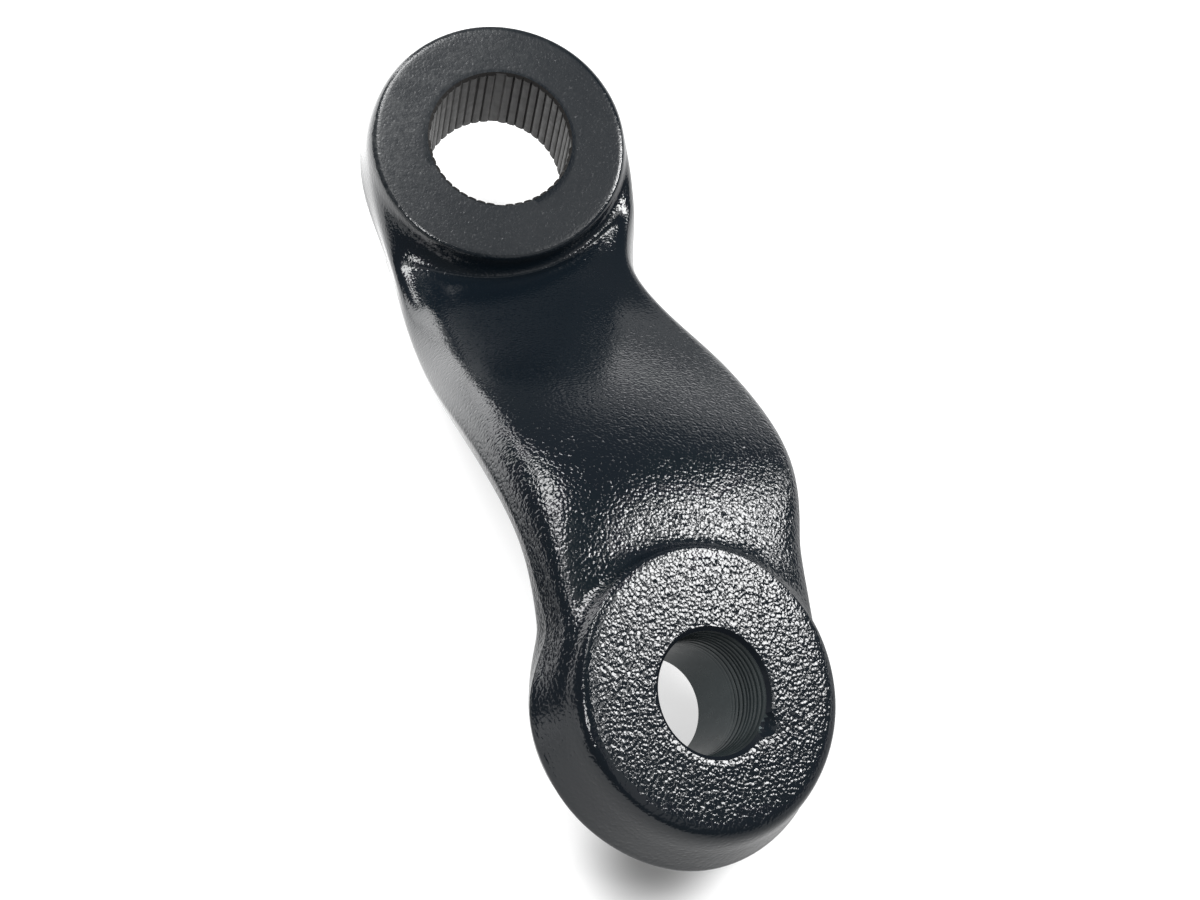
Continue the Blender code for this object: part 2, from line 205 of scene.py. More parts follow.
@dataclass
class Boss:
    """One boss of the forging: a drum with a flat face, a rounded edge and drafted walls.

    The edges are tight near the web and grow soft between the two reaches, in degrees from it.
    The web opens between the two step rings. At each corner there the feet say how far its fillet
    stands out, the top feet the same on the step rings, and the steps how deep it lies.
    """

    wall_radius: float
    soft_wall_radius: float
    parting_radius: float
    thickness: float
    edge: float
    soft_edge: float
    soft_step: float
    web_angle: float
    feet: Values
    top_feet: Values
    steps: Values
    centre: np.ndarray
    turn: np.ndarray
    off_bore: Pair

    corners: int = 16
    web_corners: int = 3
    inner_share: float = 0.36
    inset_share: float = 0.1
    soft_inset_share: float = 0.34
    tight_reach: float = 50.0
    soft_reach: float = 100.0
    step_ring: int = 4
    back_step_ring: int = 8

    @property
    def matrix(self) -> Matrix:
        """The boss's turn, without its place."""
        return Matrix(self.turn.tolist()).to_4x4()

    def local(self, points: np.ndarray) -> np.ndarray:
        """Positions as the boss has them: from its bore's middle, with the bore's axis as Z."""
        return (points - self.centre) @ self.turn

    def profile(self, away: float) -> np.ndarray:
        """Radius and height of the cage's rings, from the front face down to the back face.

        Away runs from 0 where the edges are tight to 1 where they are softest. The wall leans out
        by its draft from the face's edge to the parting line. Three rings close together carry
        the trimmed flash, a low bead along that line.

        Args:
            away: How far round from the web, from 0 to 1.

        Returns:
            Rows of radius and height in millimetres, shape (rings, 2).
        """
        wall = self.wall_radius + (self.soft_wall_radius - self.wall_radius) * away
        edge = self.edge + (self.soft_edge - self.edge) * away
        step = self.steps[0] + (self.soft_step - self.steps[0]) * away
        half = self.thickness / 2.0
        lean = (self.parting_radius - wall) / (half - edge)
        inset = edge * (self.inset_share + (self.soft_inset_share - self.inset_share) * away)
        upper = [((wall - edge) * self.inner_share, 0.0),
                 (wall - edge, 0.0),
                 (wall - inset, 0.0),
                 (wall, -edge),
                 (wall + lean * (step - edge), -step),
                 (self.parting_radius - lean * FLASH_REACH, -half + FLASH_REACH)]
        lower = [(radius, -self.thickness - height) for radius, height in reversed(upper)]
        return np.array(upper + [(self.parting_radius + FLASH_STAND, -half)] + lower)

    def rings(self) -> np.ndarray:
        """Corners of the boss's rings, shape (rings, corners, 3), in the arm's frame.

        A corner lies at (r cos a, r sin a, h), with r and h from the profile. Corners that face
        the web stand out by the fillet's reach on the rings from one step to the other. A cubic
        B-spline ring lies inside its corners, so all radii are first brought out by 6 / (4 + 2 cos
        of the corner angle).

        Returns:
            The corners.
        """
        step = 2.0 * math.pi / self.corners
        from_web = (np.arange(self.corners) + 0.5) * step
        turned = np.degrees(np.arccos(np.cos(from_web)))
        away = soft_mask(turned, self.tight_reach, self.soft_reach)
        profiles = np.array([self.profile(share) for share in away])
        radii = profiles[:, :, 0].T.copy()
        heights = profiles[:, :, 1].T.copy()
        facing = np.arange(-self.web_corners, self.web_corners)
        for ring in range(self.step_ring, self.back_step_ring + 1):
            inner = ring not in (self.step_ring, self.back_step_ring)
            parting = ring == (self.step_ring + self.back_step_ring) // 2
            bead = FLASH_STAND if parting else 0.0
            reach = np.array(self.feet) + bead if inner else np.array(self.top_feet)
            radii[ring, facing] = self.wall_radius + reach
        heights[self.step_ring, facing] = -np.array(self.steps)
        heights[self.back_step_ring, facing] = np.array(self.steps) - self.thickness
        radii *= 6.0 / (4.0 + 2.0 * math.cos(step))
        local = polar_rings(radii, heights, self.web_angle + from_web)
        return (local + (*self.off_bore, 0.0)) @ self.turn.T + self.centre

    def poles(self) -> np.ndarray:
        """Middle points of the front and back faces."""
        local = np.array([(*self.off_bore, 0.0), (*self.off_bore, -self.thickness)])
        return local @ self.turn.T + self.centre

    def opening(self, ids: np.ndarray, mirrored: bool) -> list[int]:
        """Indices round the boss's opening for the web, in the order of a web section.

        Args:
            ids: Indices of the ring corners, shape (rings, corners).
            mirrored: True where the boss looks at the web from the far side.

        Returns:
            The indices.
        """
        order = [*range(self.corners - self.web_corners, self.corners), *range(self.web_corners)]
        if mirrored:
            order.reverse()
        side = range(self.step_ring + 1, self.back_step_ring)
        top = [int(ids[self.step_ring, k]) for k in order]
        down = [int(ids[ring, order[-1]]) for ring in side]
        bottom = [int(ids[self.back_step_ring, k]) for k in reversed(order)]
        rise = [int(ids[ring, order[0]]) for ring in reversed(side)]
        return top + down + bottom + rise

    def faces(self, ids: np.ndarray, poles: np.ndarray) -> Faces:
        """Quads between the rings, fans at the poles, and none where the web opens.

        Args:
            ids: Indices of the ring corners, shape (rings, corners).
            poles: Indices of the two face middles.

        Returns:
            Corner indices of every face.
        """
        open_corners = {*range(self.corners - self.web_corners, self.corners),
                        *range(self.web_corners - 1)}
        quads = np.array(ring_faces(ids)).reshape(len(ids) - 1, self.corners, 4)
        kept = np.ones(quads.shape[:2], dtype=bool)
        kept[self.step_ring:self.back_step_ring, sorted(open_corners)] = False
        pairs = [(k, (k + 1) % self.corners) for k in range(self.corners)]
        front = [[int(poles[0]), int(ids[0, k]), int(ids[0, after])] for k, after in pairs]
        back = [[int(poles[1]), int(ids[-1, after]), int(ids[-1, k])] for k, after in pairs]
        return quads[kept].tolist() + front + back


@dataclass
class Web:
    """The S-shaped web between the bosses, as sections along its centre line.

    A section's face falls off by a drop at its left and right edges, and the spread gives the
    places of its corners from left to right.
    """

    left_reach: Values = (37.2, 37.7, 36.3, 33.9, 31.0)
    reflection_right_reach: Values = (26.0, 30.0, 36.0, 39.6, 40.2)
    thickness: Pair = (24.5, 22.5)
    side_crown: float = 1.8
    left_drop: Values = (9.0, 7.6, 5.6, 4.6, 4.6)
    right_drop: Values = (1.6, 1.4, 1.0, 0.8, 0.8)
    drop_power: int = 6
    spread: Values = (-1.0, -0.80, -0.30, 0.34, 0.88, 1.0)
    collar: float = 0.18
    start_slope: float = 0.45

    def climb(self, t: float) -> Pair:
        """Share of the rise at a share of the way, and its slope there.

        It is a smooth step with the start slope added, which dies out along the way.

        Args:
            t: Share of the way from the shaft boss.

        Returns:
            The share of the rise, and its slope.
        """
        reached = smooth_step(t) + self.start_slope * t * (1.0 - t) ** 2
        slope = 6.0 * t * (1.0 - t) + self.start_slope * (1.0 - t) * (1.0 - 3.0 * t)
        return reached, slope

    @staticmethod
    def axes(slope: float, roll: float) -> tuple[np.ndarray, np.ndarray]:
        """Sideways and upward axes of a section that leans along Y and rolls by some degrees.

        Args:
            slope: Rise along Y at the section.
            roll: Roll in degrees.

        Returns:
            The sideways and the upward axis.
        """
        turn = math.radians(roll)
        up = np.array([0.0, -slope, 1.0]) / math.hypot(slope, 1.0) * math.cos(turn)
        up = up + np.array([math.sin(turn), 0.0, 0.0])
        up = up / np.linalg.norm(up)
        side = turned_about_y(roll)[:, 0]
        side = side - up * (side @ up)
        return side / np.linalg.norm(side), up

    @staticmethod
    def bow(t: float, end_bow: float) -> float:
        """How far a section's edges bow along Y: as far as the boss's wall at either end."""
        bow = end_bow * max(1.0 - 2.0 * t, 0.0) * (1.0 - t) ** 2
        return bow - end_bow * max(2.0 * t - 1.0, 0.0) * t ** 2

    def sections(self, near: np.ndarray, far: np.ndarray, ends_z: Pair,
                 roll: float) -> np.ndarray:
        """Corners of the web's sections, shape (sections, corners, 3).

        A section goes across the top, down the right side, back along the bottom and up the left.
        Its centre runs straight along Y and climbs from one boss to the other. It leans with the
        slope, rolls with the ball-stud boss, and bows along Y to follow the bosses' round walls.
        A collar section close to each boss keeps the fillet there tight. Near and far are the
        corners round the two openings, ends_z the centre line's height at its two ends.

        Args:
            near: Corners round the shaft boss's opening.
            far: Corners round the ball-stud boss's opening.
            ends_z: Height of the centre line at its two ends.
            roll: The ball-stud boss's roll in degrees.

        Returns:
            The sections' corners.
        """
        across = np.array(self.spread)
        start_y, end_y = near[:, 1].min(), far[:, 1].max()
        end_bow = (near[0, 1] + near[len(across) - 1, 1]) / 2.0 - start_y
        rise = ends_z[1] - ends_z[0]
        ways = np.arange(1, len(self.left_reach) + 1) / (len(self.left_reach) + 1.0)
        sections = []
        for left_reach, reflection_right_reach, left_drop, right_drop, t in zip(
                self.left_reach, self.reflection_right_reach, self.left_drop, self.right_drop, ways):
            reached, climb = self.climb(t)
            centre = np.array([(reflection_right_reach - left_reach) / 2.0, start_y + (end_y - start_y) * t,
                               ends_z[0] + rise * reached])
            side, up = self.axes(rise * climb / (end_y - start_y), roll * reached)
            edge = np.array([0.0, self.bow(t, end_bow), 0.0])
            width = (reflection_right_reach + left_reach) / 2.0
            half = (self.thickness[0] + (self.thickness[1] - self.thickness[0]) * t) / 2.0
            row = centre + np.outer(across * width, side) + np.outer(across ** 2, edge)
            drop = np.where(across < 0.0, left_drop, right_drop)
            face = np.outer(half - drop * across ** self.drop_power, up)
            crown = width + self.side_crown
            reach = np.outer([crown, crown + FLASH_STAND, crown], side)
            flank = np.outer([FLASH_REACH, 0.0, -FLASH_REACH], up)
            right = centre + edge + reach + flank
            left = centre + edge - reach - flank
            sections.append(np.vstack([row + face, right, (row - face)[::-1], left]))
        collars = [end + (section - end) * self.collar
                   for end, section in ((near, sections[0]), (far, sections[-1]))]
        return np.array([collars[0], *sections, collars[1]])


@dataclass
class Forging:
    """The forged arm before machining: a control cage under a Subdivision Surface.

    Its skin is never true: it has soft waves, which start at the flat depths below the faces.
    """

    centre_distance: float = 171.0
    drop: float = 84.0
    stud_roll: float = 18.6
    levels: int = 3
    unevenness: float = 0.10
    wave_length: float = 34.0
    wave_change: Pair = (0.5, 1.4)
    wave_count: int = 9
    phase_reach: float = 6.3
    seed: int = 11
    flat_depth: Pair = (0.2, 2.5)
    flat_margin: float = 2.0
    web: Web = field(default_factory=Web)
    shaft: Boss = field(init=False)
    stud: Boss = field(init=False)

    def __post_init__(self) -> None:
        """Places the two bosses."""
        self.shaft = Boss(
            wall_radius=37.8, soft_wall_radius=38.4, parting_radius=40.4, thickness=34.0,
            edge=3.2, soft_edge=4.8, soft_step=7.2, web_angle=-math.pi / 2.0,
            feet=(7.0, 4.0, 3.6, 3.8, 4.4, 6.4), top_feet=(8.4, 4.2, 2.8, 2.2, 2.4, 5.0),
            steps=(7.4, 6.8, 6.2, 5.2, 4.0, 3.8),
            centre=np.zeros(3), turn=np.eye(3), off_bore=(-0.4, -0.2))
        self.stud = Boss(
            wall_radius=31.4, soft_wall_radius=34.3, parting_radius=37.7, thickness=28.5,
            edge=3.2, soft_edge=6.4, soft_step=9.0, web_angle=math.pi / 2.0,
            feet=(15.0, 3.0, 2.4, 2.2, 2.4, 2.0), top_feet=(12.4, 1.8, 0.8, 0.7, 1.8, 2.4),
            steps=(5.0, 5.0, 5.0, 5.0, 5.0, 5.0),
            centre=np.array([0.0, -self.centre_distance, self.drop]),
            turn=turned_about_y(self.stud_roll), off_bore=(0.5, 1.4))

    def cage(self) -> tuple[np.ndarray, Faces]:
        """Corner positions and faces of the whole cage.

        Returns:
            The corner positions, and the faces' corner indices.
        """
        shaft, stud = self.shaft.rings(), self.stud.rings()
        per_boss = shaft.shape[0] * shaft.shape[1]
        shaft_ids = np.arange(per_boss).reshape(shaft.shape[:2])
        stud_ids = shaft_ids + per_boss
        pole_ids = 2 * per_boss + np.arange(4)
        points = np.vstack([shaft.reshape(-1, 3), stud.reshape(-1, 3),
                            self.shaft.poles(), self.stud.poles()])
        near = self.shaft.opening(shaft_ids, mirrored=False)
        far = self.stud.opening(stud_ids, mirrored=True)
        ends_z = (-self.shaft.thickness / 2.0, self.drop - self.stud.thickness / 2.0)
        sections = self.web.sections(points[near], points[far], ends_z, self.stud_roll)
        section_ids = len(points) + np.arange(sections.shape[0] * sections.shape[1])
        rows = np.vstack([near, section_ids.reshape(sections.shape[:2]), far])
        faces = self.shaft.faces(shaft_ids, pole_ids[:2]) + self.stud.faces(stud_ids, pole_ids[2:])
        return np.vstack([points, sections.reshape(-1, 3)]), faces + ring_faces(rows)

    def hammered(self, points: np.ndarray, normals: np.ndarray) -> np.ndarray:
        """Moves points along their normals by a sum of a few seeded sine waves.

        Args:
            points: Positions, shape (points, 3).
            normals: Unit normals at the points.

        Returns:
            The moved positions.
        """
        chance = np.random.default_rng(self.seed)
        height = np.zeros(len(points))
        for _ in range(self.wave_count):
            direction = chance.normal(size=3)
            direction /= np.linalg.norm(direction)
            length = self.wave_length * chance.uniform(*self.wave_change)
            phase = chance.uniform(0.0, self.phase_reach)
            height += np.sin(points @ direction * 2.0 * math.pi / length + phase)
        height *= self.unevenness / math.sqrt(self.wave_count)
        for boss in (self.shaft, self.stud):
            local = boss.local(points)
            radius = np.hypot(local[:, 0], local[:, 1])
            depth = np.minimum(np.abs(local[:, 2]), np.abs(local[:, 2] + boss.thickness))
            on_face = 1.0 - soft_mask(depth, *self.flat_depth)
            on_face *= 1.0 - soft_mask(radius, boss.soft_wall_radius - boss.soft_edge,
                                       boss.wall_radius + self.flat_margin)
            height *= 1.0 - on_face
        return points + normals * height[:, None]

    def build(self) -> bpy.types.Object:
        """Makes the forging's object, in millimetres.

        Returns:
            The forging without its bores.
        """
        points, faces = self.cage()
        cage = mesh_object("forging_cage", points, faces)
        smooth = cage.modifiers.new("forged form", 'SUBSURF')
        smooth.levels = self.levels
        smooth.render_levels = self.levels
        mesh = evaluated_copy(cage)
        bpy.data.objects.remove(cage, do_unlink=True)
        skin = self.hammered(vectors(mesh.vertices, "co"), vectors(mesh.vertex_normals, "vector"))
        mesh.vertices.foreach_set("co", skin.astype(np.float32).ravel())
        mesh.update()
        return linked("forging", mesh)


def stacked_rings(name: str, rings: np.ndarray) -> bpy.types.Object:
    """Closes rings of points into a solid with a flat cap at each end.

    Args:
        name: Name of the object.
        rings: Positions, shape (rings, points, 3).

    Returns:
        The closed solid.
    """
    ids = np.arange(rings.shape[0] * rings.shape[1]).reshape(rings.shape[:2])
    faces = ring_faces(ids) + [ids[0].tolist(), ids[-1].tolist()]
    return mesh_object(name, rings.reshape(-1, 3), faces)


def revolved(name: str, profile: np.ndarray, segments: int) -> bpy.types.Object:
    """Solid of revolution about Z, from a profile with rows of radius and height."""
    angles = np.arange(segments) * 2.0 * math.pi / segments
    return stacked_rings(name, polar_rings(profile[:, :1], profile[:, 1:], angles))


@dataclass
class SplinedBore:
    """Splined taper bore for the sector shaft, with a tooth left out every quarter turn.

    The tooth and groove halves are shares of the pitch.
    """

    thickness: float
    crest_radius: float = 20.3
    tooth_depth: float = 0.6
    taper: float = 1.0 / 16.0
    places: int = 48
    masters: int = 4
    master_angle: float = -103.6
    chamfer: float = 0.3
    tooth_half: float = 0.37
    groove_half: float = 0.05
    crest_rounding: float = 0.16
    groove_rounding: float = 0.10
    crest_points: int = 7
    groove_points: int = 3

    @property
    def root_radius(self) -> float:
        """Radius at the teeth's roots, at the front face."""
        return self.crest_radius + self.tooth_depth

    def section(self) -> tuple[np.ndarray, np.ndarray]:
        """Polar outline of the bore at the front face, as angles and radii.

        A tooth's crest is a shallow arch, the grooves between teeth are narrow, and a place
        without a tooth is one wide groove.

        Returns:
            The angles in radians, and the radii in millimetres.
        """
        pitch = 2.0 * math.pi / self.places
        crest = np.linspace(-1.0, 1.0, self.crest_points)
        groove = np.linspace(-1.0, 1.0, self.groove_points)
        angles, radii = [], []
        for place in range(self.places):
            middle = math.radians(self.master_angle) + place * pitch
            if place % (self.places // self.masters):
                angles.append(middle + crest * self.tooth_half * pitch)
                radii.append(self.crest_radius + self.crest_rounding * crest ** 2)
            angles.append(middle + (groove * self.groove_half + 0.5) * pitch)
            radii.append(self.root_radius + self.groove_rounding * (1.0 - groove ** 2))
        return np.concatenate(angles), np.concatenate(radii)

    def cutters(self) -> list[bpy.types.Object]:
        """The tapered splined plug and the cones that chamfer its two mouths.

        Returns:
            The plug and the two cones.
        """
        angles, radii = self.section()
        heights = np.array([CUT_MARGIN, -self.thickness - CUT_MARGIN])[:, None]
        grown = radii - heights * self.taper / 2.0
        made = [stacked_rings("spline_cutter", polar_rings(grown, heights, angles))]
        mouths = (("front_mouth", 0.0, 1.0), ("back_mouth", -self.thickness, -1.0))
        for name, face, outward in mouths:
            rim = self.root_radius - face * self.taper / 2.0 + self.chamfer
            depth = self.chamfer + self.tooth_depth + CUT_MARGIN
            profile = np.array([(rim + CUT_MARGIN, face + outward * CUT_MARGIN),
                                (rim - depth, face - outward * depth)])
            made.append(revolved(name, profile, self.places * 4))
        return made


@dataclass
class StudBore:
    """Smooth taper bore for the ball stud, with fine turning rings in its mouth."""

    thickness: float
    mouth_radius: float = 13.5
    taper: float = 1.0 / 8.0
    chamfer: float = 0.9
    ring_pitch: float = 1.4
    ring_depth: float = 0.16
    ring_fade_in: Pair = (1.0, 3.0)
    ring_fade_out: Pair = (9.0, 16.0)
    ring_wander: float = 0.9
    ring_power: int = 4
    points_per_ring: int = 10
    segments: int = 144

    def profile(self) -> np.ndarray:
        """Radius and height along the bore.

        The radius falls with the taper, less narrow ridges: a power of a raised cosine whose
        phase wanders. They fade out with depth.

        Returns:
            Rows of radius and height in millimetres.
        """
        reach = self.ring_fade_out[1]
        count = int((reach - self.chamfer) / self.ring_pitch * self.points_per_ring)
        end = -self.thickness + self.chamfer
        heights = np.append(np.linspace(-self.chamfer, -reach, count), end)
        fade = soft_mask(-heights, *self.ring_fade_in)
        fade *= 1.0 - soft_mask(-heights, *self.ring_fade_out)
        wander = np.sin(heights * self.ring_wander)
        phase = 2.0 * math.pi * heights / self.ring_pitch + wander
        ridges = ((1.0 + np.cos(phase)) / 2.0) ** self.ring_power
        radii = self.mouth_radius + heights * self.taper / 2.0 - self.ring_depth * fade * ridges
        rim = self.chamfer + CUT_MARGIN
        return np.vstack([[self.mouth_radius + rim, CUT_MARGIN],
                          np.stack([radii, heights], axis=1),
                          [radii[-1] + rim, -self.thickness - CUT_MARGIN]])

    def cutter(self, boss: Boss) -> bpy.types.Object:
        """The plug that cuts the bore, placed in its boss.

        Args:
            boss: The ball-stud boss.

        Returns:
            The plug.
        """
        plug = revolved("stud_bore_cutter", self.profile(), self.segments)
        place = boss.matrix
        place.translation = Vector(boss.centre)
        plug.data.transform(place)
        return plug


@dataclass
class Dent:
    """A knock on the rim of the ball-stud bore, cut as a shallow hollow by part of a ball.

    The ball's middle has an angle and a radius about the bore and a height over the face. Its
    half sizes run out from the bore, round it and along its axis.
    """

    angle: float = -41.0
    radius: float = 11.2
    height: float = 7.2
    half_sizes: Triple = (9.4, 6.0, 9.0)
    fade: float = 0.16
    segments: int = 48
    pole_gap: float = 0.08

    def place(self, boss: Boss) -> Matrix:
        """Place of the ball, whose first axis points out from the bore.

        Args:
            boss: The ball-stud boss.

        Returns:
            Matrix from the ball to the arm's frame.
        """
        angle = math.radians(self.angle)
        middle = np.array([self.radius * math.cos(angle), self.radius * math.sin(angle),
                           self.height])
        place = boss.matrix @ Matrix.Rotation(angle, 4, 'Z')
        place.translation = Vector(boss.centre + boss.turn @ middle)
        return place

    def mask(self, points: np.ndarray, boss: Boss) -> np.ndarray:
        """Mask that is 1 inside the hollow and fades out just past it.

        Args:
            points: Positions, shape (points, 3).
            boss: The ball-stud boss.

        Returns:
            The mask at the points.
        """
        place = self.place(boss)
        local = (points - np.array(place.translation)) @ np.array(place.to_3x3())
        away = np.linalg.norm(local / self.half_sizes, axis=1)
        return 1.0 - soft_mask(away, 1.0, 1.0 + self.fade)

    def cutter(self, boss: Boss) -> bpy.types.Object:
        """The rounded plug that cuts the hollow: a ball scaled to its half sizes.

        Args:
            boss: The ball-stud boss.

        Returns:
            The plug.
        """
        arc = np.linspace(self.pole_gap, math.pi - self.pole_gap, self.segments // 2)
        profile = np.stack([np.sin(arc), np.cos(arc)], axis=1)
        ball = revolved("dent_cutter", profile, self.segments)
        ball.data.transform(self.place(boss) @ Matrix.Diagonal((*self.half_sizes, 1.0)))
        return ball


@dataclass(frozen=True)
class Coat:
    """Gloss black powder coat with its orange peel, its grain, and its dust with a painted sheen,
    in millimetres.
    """

    colour: Triple = (0.0036, 0.0062, 0.0092)
    roughness: float = 0.12
    face_roughness: float = 0.38
    roughness_change: float = 0.08
    patch_size: float = 14.0
    peel_size: float = 0.72
    peel_height: float = 0.045
    shaft_face_height: float = 0.068
    stud_face_height: float = 0.115
    coarse_height: float = 0.15
    dome_smoothness: float = 0.25
    dome_power: float = 3.5
    noise_spread: float = 1.25
    grain_size: float = 0.45
    grain_height: float = 0.020
    face_grain_height: float = 0.065
    # Dust, laid more thickly towards one side of the shaft boss's face as a painted sheen.
    dust_and_sheen_colour: Triple = (0.055, 0.058, 0.060)
    dust_and_sheen_amount: float = 0.74
    cloud_size: float = 9.0
    speckle_size: float = 1.6
    speckle_power: float = 1.6


@dataclass(frozen=True)
class BareSteel:
    """Dark oiled steel inside a bore, with a faint mottle of a size in millimetres."""

    colour: Triple
    roughness: float
    metallic: float
    specular: float
    mottle: float = 0.25
    mottle_size: float = 2.5


@dataclass
class NodeBench:
    """Adds and joins the shader nodes of one tree."""

    tree: bpy.types.NodeTree

    def add(self, kind: str, **settings: object) -> bpy.types.Node:
        """Adds a node of a kind and sets its properties.

        Args:
            kind: Type name of the node.
            **settings: Its properties by name.

        Returns:
            The node.
        """
        node = self.tree.nodes.new(kind)
        for name, value in settings.items():
            setattr(node, name, value)
        return node

    def feed(self, target: Socket, value: object) -> None:
        """Joins an output to an input, or sets the input to a plain value.

        Args:
            target: The input.
            value: An output or a plain value.
        """
        if isinstance(value, Socket):
            self.tree.links.new(value, target)
        else:
            target.default_value = value

    def fill(self, node: bpy.types.Node, values: dict[str, object]) -> None:
        """Feeds several inputs of a node by name."""
        for name, value in values.items():
            self.feed(node.inputs[name], value)

    def math(self, operation: str, first: object, second: object) -> Socket:
        """Adds a Math node fed by sockets or numbers and returns its output.

        Args:
            operation: What the node works out.
            first: Its first input.
            second: Its second input.

        Returns:
            The node's output.
        """
        node = self.add("ShaderNodeMath", operation=operation)
        self.feed(node.inputs[0], first)
        self.feed(node.inputs[1], second)
        return node.outputs[0]

    def product(self, first: object, *others: object) -> Socket:
        """Multiplies sockets or numbers, from the first on.

        Args:
            first: The first factor.
            *others: The other factors.

        Returns:
            The product.
        """
        for other in others:
            first = self.math('MULTIPLY', first, other)
        return first

    def mix(self, factor: object, first: object, second: object) -> Socket:
        """Blends two numbers or sockets and returns the output.

        Args:
            factor: Share of the second value.
            first: Value at factor 0.
            second: Value at factor 1.

        Returns:
            The blend.
        """
        node = self.add("ShaderNodeMix", data_type='FLOAT')
        for socket, value in ((0, factor), (2, first), (3, second)):
            self.feed(node.inputs[socket], value)
        return node.outputs[0]

    def place(self) -> Socket:
        """The object coordinates."""
        return self.add("ShaderNodeTexCoord").outputs["Object"]

    def attribute(self, name: str) -> Socket:
        """One of the mesh's masks."""
        return self.add("ShaderNodeAttribute", attribute_name=name).outputs["Fac"]

    def noise(self, vector: Socket, size_mm: float, detail: float = 2.0) -> Socket:
        """A noise with a feature size in millimetres.

        Args:
            vector: The place to read.
            size_mm: Feature size.
            detail: Number of finer layers.

        Returns:
            The noise, from 0 to 1.
        """
        node = self.add("ShaderNodeTexNoise")
        self.fill(node, {"Vector": vector, "Scale": 1.0 / (size_mm * MM), "Detail": detail})
        return node.outputs["Fac"]

    def waver(self, noise: Socket, amount: float) -> Socket:
        """Turns a noise into a small change about nought."""
        return self.product(self.math('SUBTRACT', noise, 0.5), amount)

    def ramp(self, value: Socket, reach: Pair, ends: Pair) -> Socket:
        """Adds a smooth step between two ends over the reach of a value.

        Args:
            value: The value to follow.
            reach: Where the step starts and ends.
            ends: What it gives at both.

        Returns:
            The step.
        """
        node = self.add("ShaderNodeMapRange", interpolation_type='SMOOTHSTEP')
        self.fill(node, {"Value": value, "From Min": reach[0], "From Max": reach[1],
                         "To Min": ends[0], "To Max": ends[1]})
        return node.outputs["Result"]

    def measure(self, operation: str, place: Socket, other: Triple) -> Socket:
        """One number from a place and a fixed vector: their dot product or their distance.

        Args:
            operation: Dot product or distance.
            place: The place to read.
            other: The fixed vector.

        Returns:
            The number.
        """
        node = self.add("ShaderNodeVectorMath", operation=operation)
        self.feed(node.inputs[0], place)
        self.feed(node.inputs[1], other)
        return node.outputs["Value"]

    def rgb(self, value: Socket) -> Socket:
        """Turns a value into a grey colour.

        Args:
            value: Brightness of the grey.

        Returns:
            The colour.
        """
        node = self.add("ShaderNodeCombineColor")
        for socket in node.inputs:
            self.feed(socket, value)
        return node.outputs[0]


def new_material(name: str) -> tuple[bpy.types.Material, NodeBench, bpy.types.Node]:
    """Makes a material and returns it with a bench for its nodes and with its shader.

    Args:
        name: Name of the material.

    Returns:
        The material, the bench and the shader.
    """
    material = bpy.data.materials.new(name)
    material.use_nodes = True
    shader = material.node_tree.nodes["Principled BSDF"]
    return material, NodeBench(material.node_tree), shader


def orange_peel_group(finish: Coat) -> bpy.types.NodeTree:
    """Node group for the coat's skin: its Height rises in rounded bumps, over a fine grain.

    Args:
        finish: The coat.

    Returns:
        The node group.
    """
    group = bpy.data.node_groups.new("orange peel", "ShaderNodeTree")
    for name in ("Peel Size", "Peel Height", "Grain Size", "Grain Height"):
        group.interface.new_socket(name, in_out='INPUT', socket_type='NodeSocketFloat')
    group.interface.new_socket("Height", in_out='OUTPUT', socket_type='NodeSocketFloat')
    bench = NodeBench(group)
    given = bench.add("NodeGroupInput").outputs
    result = bench.add("NodeGroupOutput")
    place = bench.place()
    cells = bench.add("ShaderNodeTexVoronoi", feature='SMOOTH_F1')
    bench.fill(cells, {"Vector": place, "Smoothness": finish.dome_smoothness,
                       "Scale": bench.math('DIVIDE', 1.0 / MM, given["Peel Size"])})
    fall = bench.math('POWER', cells.outputs["Distance"], finish.dome_power)
    bumps = bench.product(bench.math('SUBTRACT', 1.0, fall), given["Peel Height"])
    layers = []
    for layer, detail in (("Peel", 0.5), ("Grain", 2.0)):
        noise = bench.add("ShaderNodeTexNoise")
        scale = bench.math('DIVIDE', 1.0 / (finish.noise_spread * MM), given[layer + " Size"])
        bench.fill(noise, {"Vector": place, "Detail": detail, "Scale": scale})
        layers.append(bench.product(noise.outputs["Fac"], given[layer + " Height"]))
    height = bench.math('ADD', layers[1], bench.math('ADD', bumps, layers[0]))
    bench.fill(result, {"Height": height})
    return group


